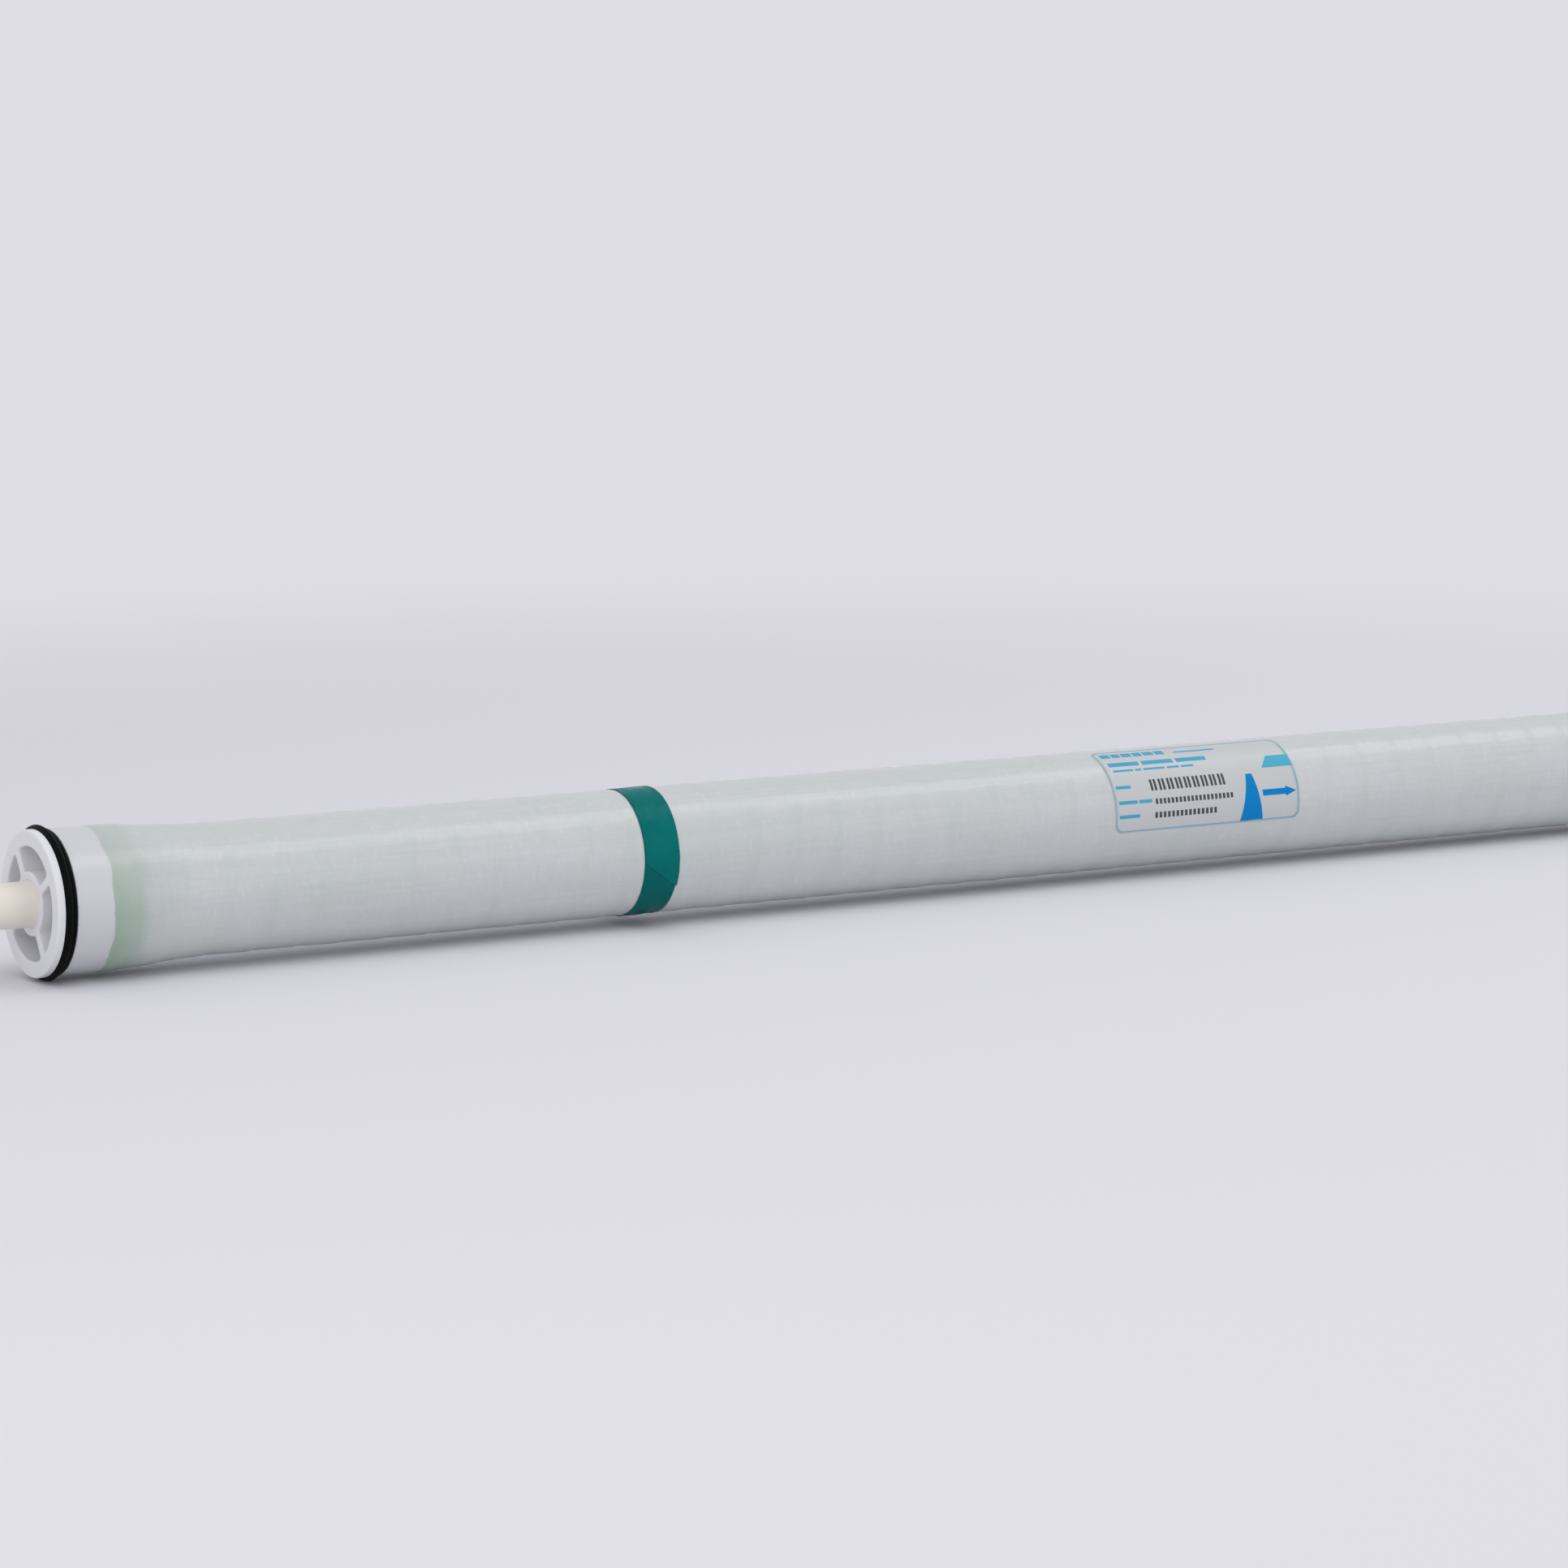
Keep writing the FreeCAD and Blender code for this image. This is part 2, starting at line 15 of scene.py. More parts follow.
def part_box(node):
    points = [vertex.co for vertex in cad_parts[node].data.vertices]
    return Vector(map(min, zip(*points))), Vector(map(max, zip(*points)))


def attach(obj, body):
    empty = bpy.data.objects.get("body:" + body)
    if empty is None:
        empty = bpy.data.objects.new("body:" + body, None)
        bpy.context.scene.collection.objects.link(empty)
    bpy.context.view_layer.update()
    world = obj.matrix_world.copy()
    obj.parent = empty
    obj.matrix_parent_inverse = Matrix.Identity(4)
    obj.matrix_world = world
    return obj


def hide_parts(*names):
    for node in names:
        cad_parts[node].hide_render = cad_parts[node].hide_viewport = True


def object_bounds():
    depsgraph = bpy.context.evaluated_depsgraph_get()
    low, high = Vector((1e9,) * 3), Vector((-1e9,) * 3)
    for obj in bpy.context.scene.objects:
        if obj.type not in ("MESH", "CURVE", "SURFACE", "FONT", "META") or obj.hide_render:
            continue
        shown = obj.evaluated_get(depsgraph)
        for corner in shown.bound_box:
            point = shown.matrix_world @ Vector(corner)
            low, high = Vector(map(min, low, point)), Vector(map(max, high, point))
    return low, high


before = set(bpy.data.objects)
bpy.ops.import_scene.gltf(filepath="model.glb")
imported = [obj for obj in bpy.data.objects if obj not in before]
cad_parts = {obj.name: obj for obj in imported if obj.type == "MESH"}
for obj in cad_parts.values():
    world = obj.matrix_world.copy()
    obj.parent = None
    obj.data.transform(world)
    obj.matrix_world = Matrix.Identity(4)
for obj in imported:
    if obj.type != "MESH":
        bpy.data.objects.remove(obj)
cad_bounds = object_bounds()

MM = 0.001

# ---------------------------------------------------------------- sizes read from the CAD model
CAP_LOW, CAP_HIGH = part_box("feed_end_cap")
FACE = -CAP_LOW.x                       # both cap faces are this far from the middle
CAP_RADIUS = CAP_HIGH.z
CAP_LENGTH = CAP_HIGH.x - CAP_LOW.x
TUBE_LOW, TUBE_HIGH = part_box("permeate_tube")
TUBE_RADIUS = TUBE_HIGH.z
WRAP_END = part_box("outer_wrap")[1].x
BAND_LOW, BAND_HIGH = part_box("colour_band")
BAND_THICKNESS = 0.2 * MM
BODY_RADIUS = BAND_HIGH.z - BAND_THICKNESS
LABEL_LOW, LABEL_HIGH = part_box("label")
SEAL_LOW, SEAL_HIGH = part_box("brine_seal")
TAPE_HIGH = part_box("end_tapes")[1]
ROLL_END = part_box("feed_spacer_1")[1].x
FLOOR = cad_bounds[0][2]

# ---------------------------------------------------------------- sizes that no box gives
TUBE_END_RADIUS = 9.525 * MM
TUBE_BORE_RADIUS = 7.1 * MM
WRAP_END_RADIUS = CAP_RADIUS - 0.1 * MM
SKIRT_RADIUS = WRAP_END_RADIUS - 0.5 * MM
SKIRT_BORE_RADIUS = 26.96 * MM
GROOVE_RADIUS = CAP_RADIUS - 3.6 * MM
FLANGE_WIDTH = 3.4 * MM
GROOVE_END = 8.8 * MM
WEB_DEPTH = 12.6 * MM
HUB_RADIUS = 13.5 * MM
WINDOW_RADIUS = 23.6 * MM
WINDOW_CORNER = 1.6 * MM
WINDOW_EASE = 0.8 * MM                  # rounding of the window's front edge
WINDOW_DRAFT = math.tan(math.radians(0.5))
SPOKE_WIDTH = 4.2 * MM
SPOKES = 4
SPOKE_ANGLE = 32                        # of the first spoke
TAPER_END = CAP_LENGTH + 50 * MM        # where the wrap is level, from the cap's face
TAPE_LENGTH = 25 * MM
LABEL_MIDDLE = 32.5                     # degrees round the axis
LABEL_ARC = 95
LABEL_CORNER = 4 * MM


# ---------------------------------------------------------------- mesh helpers
SHARP_ANGLE = math.radians(35)


def on_ring(x, radius, angle):
    """A point at this angle round the axis, in degrees."""
    turn = math.radians(angle)
    return Vector((x, -radius * math.cos(turn), radius * math.sin(turn)))


def softened(corners, steps=5):
    """Round off the corners of a profile; a corner is (x, radius, how far the rounding reaches)."""
    points = []
    count = len(corners)
    for index, (x, radius, reach) in enumerate(corners):
        corner = Vector((x, radius))
        if reach == 0:
            points.append(corner)
            continue
        before = Vector(corners[index - 1][:2])
        after = Vector(corners[(index + 1) % count][:2])
        start = corner + (before - corner).normalized() * reach
        end = corner + (after - corner).normalized() * reach
        for step in range(steps + 1):
            t = step / steps
            points.append(start.lerp(corner, t).lerp(corner.lerp(end, t), t))
    return points


def strip(bm, first, second, closed=True):
    """Join two rows of as many vertices by a row of faces."""
    count = len(first)
    for index in range(count if closed else count - 1):
        after = (index + 1) % count
        bm.faces.new((first[index], first[after], second[after], second[index]))


def finished(name, bm):
    """Make an object of the mesh, smooth but for its sharp edges, and let it ride on its body."""
    bmesh.ops.recalc_face_normals(bm, faces=bm.faces)
    for face in bm.faces:
        face.smooth = True
    for edge in bm.edges:
        if len(edge.link_faces) == 2 and edge.calc_face_angle() > SHARP_ANGLE:
            edge.smooth = False
    mesh = bpy.data.meshes.new(name)
    bm.to_mesh(mesh)
    bm.free()
    piece = bpy.data.objects.new(name, mesh)
    bpy.context.scene.collection.objects.link(piece)
    weighting = piece.modifiers.new("even_shading", "WEIGHTED_NORMAL")
    weighting.keep_sharp = True
    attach(piece, "root")
    return piece


def cut(piece, tool_mesh):
    """Take the tool's closed shells out of a piece for good."""
    mesh = bpy.data.meshes.new("tool")
    tool_mesh.to_mesh(mesh)
    tool_mesh.free()
    tool = bpy.data.objects.new("tool", mesh)
    bpy.context.scene.collection.objects.link(tool)
    shading = piece.modifiers["even_shading"]
    shading.show_viewport = False
    difference = piece.modifiers.new("cut", "BOOLEAN")
    difference.object = tool
    difference.solver = "EXACT"
    bpy.context.view_layer.update()
    result = piece.evaluated_get(bpy.context.evaluated_depsgraph_get())
    piece.data = bpy.data.meshes.new_from_object(result)
    piece.modifiers.remove(difference)
    shading.show_viewport = True
    bpy.data.objects.remove(tool)


def lathe(name, profile, segments):
    """Turn a closed profile of (x, radius) points about the axis."""
    bm = bmesh.new()
    rings = [[bm.verts.new(on_ring(x, radius, 360 * turn / segments)) for turn in range(segments)]
             for x, radius in profile]
    for ring, following in zip(rings, rings[1:] + rings[:1]):
        strip(bm, ring, following)
    return finished(name, bm)


# ---------------------------------------------------------------- node materials
class Recipe:
    """A node material under construction, with short ways to add what the recipes share."""

    def __init__(self, name, colour, roughness):
        self.material = bpy.data.materials.new(name)
        self.material.use_nodes = True
        self.tree = self.material.node_tree
        self.shader = self.tree.nodes["Principled BSDF"]
        self.shader.inputs["Base Color"].default_value = (*colour, 1)
        self.shader.inputs["Roughness"].default_value = roughness
        self.place = self.add("ShaderNodeTexCoord").outputs["Object"]
        split = self.add("ShaderNodeSeparateXYZ")
        self.link(self.place, split.inputs[0])
        self.x, self.y, self.z = split.outputs

    def add(self, kind, **settings):
        """A new node with these settings."""
        node = self.tree.nodes.new(kind)
        for name, value in settings.items():
            setattr(node, name, value)
        return node

    def link(self, source, target):
        self.tree.links.new(source, target)

    def math(self, operation, *terms):
        """A sum on numbers or sockets."""
        node = self.add("ShaderNodeMath", operation=operation)
        for socket, term in zip(node.inputs, terms):
            if isinstance(term, (int, float)):
                socket.default_value = term
            else:
                self.link(term, socket)
        return node.outputs[0]

    def streaks(self, scale, detail=3, roughness=0.5):
        """Noise stretched by a scale for each axis, in turns per metre."""
        stretch = self.add("ShaderNodeVectorMath", operation="MULTIPLY")
        stretch.inputs[1].default_value = scale
        self.link(self.place, stretch.inputs[0])
        texture = self.add("ShaderNodeTexNoise")
        texture.inputs["Scale"].default_value = 1
        texture.inputs["Detail"].default_value = detail
        texture.inputs["Roughness"].default_value = roughness
        self.link(stretch.outputs[0], texture.inputs["Vector"])
        return texture.outputs["Fac"]

    def ramp(self, value, *stops, smooth=False):
        """Colours or grey levels along a value; a stop is (position, level or colour)."""
        node = self.add("ShaderNodeValToRGB")
        if smooth:
            node.color_ramp.interpolation = "EASE"
        elements = node.color_ramp.elements
        while len(elements) < len(stops):
            elements.new(0.5)
        for element, (position, level) in zip(elements, stops):
            element.position = position
            element.color = (*level, 1) if isinstance(level, tuple) else (level, level, level, 1)
        self.link(value, node.inputs[0])
        return node.outputs[0]

    def mix(self, share, first, second, kind="MIX"):
        """A blend of two colours or sockets, by a number or a socket."""
        node = self.add("ShaderNodeMix", data_type="RGBA", blend_type=kind)
        colours = (s for s in node.inputs if s.type == "RGBA")
        for socket, term in zip(colours, (first, second)):
            if isinstance(term, tuple):
                socket.default_value = (*term, 1)
            else:
                self.link(term, socket)
        if isinstance(share, (int, float)):
            node.inputs[0].default_value = share
        else:
            self.link(share, node.inputs[0])
        return next(s for s in node.outputs if s.type == "RGBA")

    def colour(self, source):
        self.link(source, self.shader.inputs["Base Color"])

    def roughen(self, value, low, high):
        """Let the roughness run from low to high with the value."""
        spread = self.add("ShaderNodeMapRange")
        spread.inputs["To Min"].default_value = low
        spread.inputs["To Max"].default_value = high
        self.link(value, spread.inputs["Value"])
        self.link(spread.outputs[0], self.shader.inputs["Roughness"])

    def bump(self, *heights, target="Normal"):
        """Raise the surface; a height is (value, distance in metres)."""
        last = None
        for value, distance in heights:
            node = self.add("ShaderNodeBump")
            node.inputs["Strength"].default_value = 1
            node.inputs["Distance"].default_value = distance
            self.link(value, node.inputs["Height"])
            if last is not None:
                self.link(last, node.inputs["Normal"])
            last = node.outputs[0]
        self.link(last, self.shader.inputs[target])

    def set(self, **sockets):
        """Constants on the shader's own sockets, with _ for a space."""
        for name, value in sockets.items():
            self.shader.inputs[name.replace("_", " ")].default_value = value


def plain_plastic(name, colour, roughness, mottle, grain=900):
    """Moulded plastic: a little uneven in colour and gloss, with a fine grain."""
    recipe = Recipe(name, colour, roughness)
    clouds = recipe.streaks((60, 60, 60), detail=4)
    dark = tuple(c * (1 - mottle) for c in colour)
    light = tuple(min(1, c * (1 + mottle)) for c in colour)
    recipe.colour(recipe.mix(clouds, dark, light))
    fine = recipe.streaks((grain, grain, grain), detail=2)
    recipe.roughen(fine, roughness - 0.06, roughness + 0.06)
    recipe.bump((clouds, 0.15 * MM), (fine, 0.004 * MM))
    return recipe


def use(piece, recipe):
    """Give the whole piece one material."""
    piece.data.materials.clear()
    piece.data.materials.append(recipe.material)


# ---------------------------------------------------------------- fibreglass wrap
WRAP_ROWS = 470
WRAP_COLUMNS = 192
WIND_PITCH = 21 * MM                    # one turn of the glass roving along the element
WIND_STEP = 0.38 * MM                   # how far a turn's edge stands up
OVERLAP_SHARE = 0.9                     # of the pitch over which a turn rises to its edge
WAVER = 0.14 * MM                       # the laid glass's slow unevenness
RIPPLE = 0.03 * MM                      # and its quick one
END_ZONE = 100 * MM                     # the stretch that the end colours are measured in
CALM_LENGTH = 14 * MM                   # over which the relief grows behind the skirt
END_ROUNDING = 1.5 * MM
END_DROP = 0.2 * MM


def wrap_radius(x):
    """The wrap's radius without relief: level over the skirts, then an ogee down to the body."""
    inside = FACE - abs(x)
    if inside <= CAP_LENGTH:
        return WRAP_END_RADIUS
    if inside >= TAPER_END:
        return BODY_RADIUS
    t = (inside - CAP_LENGTH) / (TAPER_END - CAP_LENGTH)
    return WRAP_END_RADIUS + (BODY_RADIUS - WRAP_END_RADIUS) * t * t * (3 - 2 * t)


def fade(value, start, end):
    """0 up to the start, 1 from the end, and a soft rise between."""
    t = min(1.0, max(0.0, (value - start) / (end - start)))
    return t * t * (3 - 2 * t)


def under_label(x, angle):
    """1 well inside the label and 0 off it: the film was pressed on while the resin was soft."""
    past_end = max(LABEL_LOW.x - x, x - LABEL_HIGH.x)
    past_edge = math.radians(abs(angle - LABEL_MIDDLE) - LABEL_ARC / 2) * BODY_RADIUS
    return 1 - fade(max(past_end, past_edge), 0, 6 * MM)


def relief(x, angle):
    """Height of the wound glass above the plain wrap: overlapping turns, waver and ripples."""
    angle = (angle + 180) % 360 - 180
    spot = on_ring(x, BODY_RADIUS, angle)
    phase = (x / WIND_PITCH - angle / 360 + 0.06 * noise.noise(spot * 28)) % 1.0
    overlap = WIND_STEP * (phase if phase < OVERLAP_SHARE else (1 - phase) * 9)
    waver = WAVER * noise.noise(spot * 45 + Vector((3, 1, 7)))
    ripple = RIPPLE * noise.noise(Vector((spot.x * 420, spot.y * 60, spot.z * 60)))
    behind_skirt = fade(FACE - abs(x) - CAP_LENGTH, 0, CALM_LENGTH)
    calm = max(0.15, behind_skirt) * (1 - 0.8 * under_label(x, angle))
    return (overlap + waver + ripple - WIND_STEP / 2) * calm


def make_wrap():
    """The relief outside, and inside the steps that go round the skirts, the tapes and the roll."""
    bm = bmesh.new()
    rings = []
    for row in range(WRAP_ROWS + 1):
        x = -WRAP_END + 2 * WRAP_END * row / WRAP_ROWS
        radius = wrap_radius(x)
        edge = min(1.0, (WRAP_END - abs(x)) / END_ROUNDING)
        ring = []
        for column in range(WRAP_COLUMNS):
            angle = 360 * column / WRAP_COLUMNS
            lift = relief(x, angle) * edge - END_DROP * (1 - edge)
            ring.append(bm.verts.new(on_ring(x, radius + lift, angle)))
        rings.append(ring)
    for side in (1, -1):
        outer = rings[-1] if side > 0 else rings[0]
        skirt_end = FACE - CAP_LENGTH
        tape_end = skirt_end - TAPE_LENGTH
        inside = ((WRAP_END, SKIRT_RADIUS), (skirt_end, SKIRT_RADIUS), (skirt_end, TAPE_HIGH.z),
                  (tape_end, TAPE_HIGH.z), (tape_end, SKIRT_BORE_RADIUS))
        for x, radius in inside:
            ring = [bm.verts.new(on_ring(side * x, radius, 360 * column / WRAP_COLUMNS))
                    for column in range(WRAP_COLUMNS)]
            strip(bm, outer, ring)
            outer = ring
        if side > 0:
            brine_bore = outer
    strip(bm, brine_bore, outer)
    for ring, following in zip(rings, rings[1:]):
        strip(bm, ring, following)
    wrap = finished("wound_fibreglass_wrap", bm)
    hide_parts("outer_wrap")
    use(wrap, fibreglass())


def fibreglass():
    """Glass fibre in clear resin over a white roll: milky, faintly green, with visible threads."""
    recipe = Recipe("fibreglass", (0.58, 0.605, 0.61), 0.45)
    clouds = recipe.ramp(recipe.streaks((8, 30, 30), detail=4), (0.35, 0), (0.65, 1))
    looks = recipe.mix(clouds, (0.555, 0.59, 0.58), (0.595, 0.61, 0.62))

    # One turn of roving ends and the next begins along a helix, a shade greener.
    towards_camera = recipe.math("MULTIPLY", recipe.y, -1)
    turn = recipe.math("DIVIDE", recipe.math("ARCTAN2", recipe.z, towards_camera), 2 * math.pi)
    laid = recipe.math("DIVIDE", recipe.x, WIND_PITCH)
    phase = recipe.math("FRACT", recipe.math("SUBTRACT", laid, turn))
    seam = recipe.ramp(phase, (0.0, 0.28), (0.12, 0), (0.60, 0), (0.93, 0.28))
    patchy = recipe.ramp(recipe.streaks((45, 45, 45), detail=3), (0.4, 0.15), (0.6, 1))
    looks = recipe.mix(recipe.math("MULTIPLY", seam, patchy), looks, (0.50, 0.565, 0.53))

    # Threads: lengthwise ones, and short bright stretches of those that go round.
    lengthwise = recipe.streaks((9, 640, 640), detail=2)
    fine = recipe.streaks((22, 1500, 1500), detail=2)
    round_about = recipe.streaks((620, 190, 190), detail=2, roughness=0.6)
    lines = recipe.ramp(lengthwise, (0.40, 0.975), (0.56, 1))
    hairs = recipe.ramp(fine, (0.36, 0.975), (0.6, 1))
    specks = recipe.ramp(round_about, (0.40, 0.98), (0.60, 1), (0.72, 1.05))
    for shade in (lines, hairs, specks):
        looks = recipe.mix(1.0, looks, shade, kind="MULTIPLY")

    # Along the element from either end: the cap's skirt shows white through the wrap, and the
    # fixing tape behind it green, fading out. Painted light: the green is weaker on top as a
    # painted highlight, and stronger underneath as painted shade.
    from_end = recipe.math("SUBTRACT", FACE, recipe.math("ABSOLUTE", recipe.x))
    ragged = recipe.math("SUBTRACT", recipe.streaks((200, 120, 120), detail=3), 0.5)
    edge = recipe.math("ADD", from_end, recipe.math("MULTIPLY", ragged, 3 * MM))
    skirt = recipe.ramp(recipe.math("DIVIDE", edge, END_ZONE), (0.247, 1), (0.254, 0))
    drift = recipe.math("SUBTRACT", recipe.streaks((40, 50, 50), detail=3), 0.5)
    along = recipe.math("DIVIDE", recipe.math("ADD", edge, recipe.math("MULTIPLY", drift, 14 * MM)),
                        END_ZONE)
    green = recipe.ramp(along, (0.24, 1), (0.34, 0.75), (0.45, 0.25), (0.60, 0), smooth=True)
    height = recipe.math("DIVIDE", recipe.math("ADD", recipe.z, CAP_RADIUS), 2 * CAP_RADIUS)
    # Painted highlight and shade: the green fades towards the top and stays full underneath.
    lower = recipe.ramp(height, (0.15, 1), (0.65, 0.72), (0.95, 0.38))
    green = recipe.math("MULTIPLY", green, lower)
    looks = recipe.mix(green, looks, (0.28, 0.385, 0.30))
    buff = recipe.math("MULTIPLY", recipe.ramp(along, (0.40, 0), (0.52, 0.5), (0.95, 0)),
                       recipe.ramp(recipe.streaks((8, 55, 55)), (0.45, 0), (0.65, 1)))
    looks = recipe.mix(buff, looks, (0.60, 0.57, 0.51))
    # Painted light: the colour is made up to a tenth lighter underneath, standing in for light
    # thrown up from the floor.
    looks = recipe.mix(1.0, looks, recipe.ramp(height, (0.05, 1.10), (0.45, 1.0)), kind="MULTIPLY")
    recipe.colour(recipe.mix(skirt, looks, (0.60, 0.605, 0.625)))

    recipe.roughen(round_about, 0.38, 0.52)
    recipe.bump((lengthwise, 0.012 * MM), (fine, 0.008 * MM))
    recipe.bump((round_about, 0.16 * MM), (lengthwise, 0.03 * MM), target="Coat Normal")
    recipe.set(Specular_IOR_Level=0.3, Coat_Weight=0.6, Coat_Roughness=0.16)
    return recipe


# ---------------------------------------------------------------- end caps
CAP_SEGMENTS = 160


def window_loop(offset, middle):
    """One window's outline, grown by the offset, as (radius, angle in degrees) points.

    Straight spoke sides, round hub and rim sides, and round corners between them.
    """
    corner = WINDOW_CORNER + offset
    side = SPOKE_WIDTH / 2 - offset
    inner = HUB_RADIUS - offset
    outer = WINDOW_RADIUS + offset

    def corner_arc(ring, inward, mirrored):
        """Arc of the rounding that touches a ring and a spoke's side."""
        centre_radius = ring - corner if inward else ring + corner
        height = side + corner
        along = math.sqrt(centre_radius ** 2 - height ** 2)
        # In the spoke's own axes: along the spoke, and square to it.
        centre = Vector((along, height))
        to_ring = centre.normalized() * (1 if inward else -1)
        to_side = Vector((0, -1))
        arc = []
        for step in range(9):
            direction = to_ring.slerp(to_side, step / 8)
            arc.append(centre + direction * corner)
        if mirrored:
            arc = [Vector((p.x, -p.y)) for p in arc]
        return arc

    def turned(points_in_spoke, spoke_angle):
        return [(p.length, spoke_angle + math.degrees(math.atan2(p.y, p.x)))
                for p in points_in_spoke]

    first = middle - 180 / SPOKES
    last = middle + 180 / SPOKES
    rim_start = turned(corner_arc(outer, True, False)[::-1], first)
    rim_end = turned(corner_arc(outer, True, True), last)
    hub_start = turned(corner_arc(inner, False, True)[::-1], last)
    hub_end = turned(corner_arc(inner, False, False), first)
    return (rim_start + arc_between(outer, rim_start[-1][1], rim_end[0][1]) + rim_end
            + hub_start + arc_between(inner, hub_start[-1][1], hub_end[0][1]) + hub_end)


def arc_between(radius, start, end, steps=14):
    """Points strictly between two angles on a ring."""
    return [(radius, start + (end - start) * step / steps) for step in range(1, steps)]


def filled(bm, loops):
    """Flat faces bounded by the loops: the first is the outline and the others are holes."""
    edges = []
    for loop in loops:
        for index, vert in enumerate(loop):
            after = loop[(index + 1) % len(loop)]
            edges.append(bm.edges.get((vert, after)) or bm.edges.new((vert, after)))
    bmesh.ops.triangle_fill(bm, edges=edges, use_beauty=True)


def make_cap(name, node, side):
    """A spoked cap at the feed end (side -1) or the brine end (side 1)."""
    bm = bmesh.new()

    def ring(depth, radius):
        x = side * (FACE - depth)
        return [bm.verts.new(on_ring(x, radius, 360 * k / CAP_SEGMENTS))
                for k in range(CAP_SEGMENTS)]

    profile = softened((
        (0, CAP_RADIUS, 0.9 * MM),
        (FLANGE_WIDTH, CAP_RADIUS, 0.25 * MM),
        (FLANGE_WIDTH, GROOVE_RADIUS, 0.3 * MM),
        (GROOVE_END, GROOVE_RADIUS, 0.3 * MM),
        (GROOVE_END, SKIRT_RADIUS, 0.25 * MM),
        (CAP_LENGTH, SKIRT_RADIUS, 0.3 * MM),
        (CAP_LENGTH, SKIRT_BORE_RADIUS, 0.3 * MM),
        (WEB_DEPTH, SKIRT_BORE_RADIUS, 0.4 * MM),
        (WEB_DEPTH, TUBE_RADIUS, 0.0),
        (0, TUBE_RADIUS, 0.4 * MM),
    ))
    rings = [ring(depth, radius) for depth, radius in profile]
    web_back = next(i for i, p in enumerate(profile) if p == Vector((WEB_DEPTH, TUBE_RADIUS)))
    for index in range(len(rings) - 1):
        if index != web_back - 1:
            strip(bm, rings[index], rings[index + 1])
    front_loops = [rings[0], rings[-1]]
    back_loops = [rings[web_back - 1], rings[web_back]]

    for window in range(SPOKES):
        middle = SPOKE_ANGLE + (window + 0.5) * 360 / SPOKES
        rows = []
        for step in range(7):
            swing = math.radians(90 * step / 6)
            offset = WINDOW_EASE * (1 - math.sin(swing)) + WINDOW_DRAFT * WEB_DEPTH
            rows.append((WINDOW_EASE * (1 - math.cos(swing)), offset))
        rows.append((WEB_DEPTH, 0))
        loops = []
        for depth, offset in rows:
            x = side * (FACE - depth)
            loops.append([bm.verts.new(on_ring(x, radius, angle))
                          for radius, angle in window_loop(offset, middle)])
        for loop, following in zip(loops, loops[1:]):
            strip(bm, loop, following)
        front_loops.append(loops[0])
        back_loops.append(loops[-1])
    filled(bm, front_loops)
    filled(bm, back_loops)
    cap = finished(name, bm)
    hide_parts(node)
    use(cap, cap_plastic())


def cap_plastic():
    """White plastic that lets a little light through, so that its pockets stay bright."""
    recipe = plain_plastic("cap_plastic", (0.77, 0.775, 0.80), 0.42, mottle=0.02)
    recipe.set(Subsurface_Weight=0.2, Subsurface_Scale=5 * MM, Specular_IOR_Level=0.25)
    return recipe


# ---------------------------------------------------------------- brine seal
def make_seal():
    """U-cup: an outer lip that swells to a crest, a shallow line, and a level heel."""
    front, back = SEAL_LOW.x, SEAL_HIGH.x
    crotch = back - 2.3 * MM
    seat = GROOVE_RADIUS + 0.15 * MM
    inner_lip = seat + 1.0 * MM
    crest = SEAL_HIGH.z
    heel = crest - 1.85 * MM
    throat = CAP_RADIUS - 1.0 * MM
    profile = softened((
        (front, heel, 0.25 * MM),
        (front + 0.9 * MM, crest - 0.55 * MM, 0.5 * MM),
        (front + 1.8 * MM, crest, 0.7 * MM),
        (front + 3.5 * MM, heel, 0.3 * MM),
        (front + 3.8 * MM, heel + 0.35 * MM, 0.25 * MM),
        (back, heel, 0.5 * MM),
        (back, seat, 0.3 * MM),
        (front, seat, 0.3 * MM),
        (front, inner_lip, 0.3 * MM),
        (crotch, inner_lip, 0.3 * MM),
        (crotch, throat, 0.3 * MM),
        (front, throat, 0.2 * MM),
    ))
    seal = lathe("rubber_brine_seal", profile, segments=200)
    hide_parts("brine_seal")
    recipe = plain_plastic("seal_rubber", (0.003, 0.003, 0.0034), 0.45, mottle=0.2, grain=1500)
    recipe.set(Specular_IOR_Level=0.05)
    use(seal, recipe)


# ---------------------------------------------------------------- product tube
PERFORATION_PITCH = 400 * MM
PERFORATION_RADIUS = 1.5 * MM
PERFORATION_START = 50 * MM             # from the roll's feed end


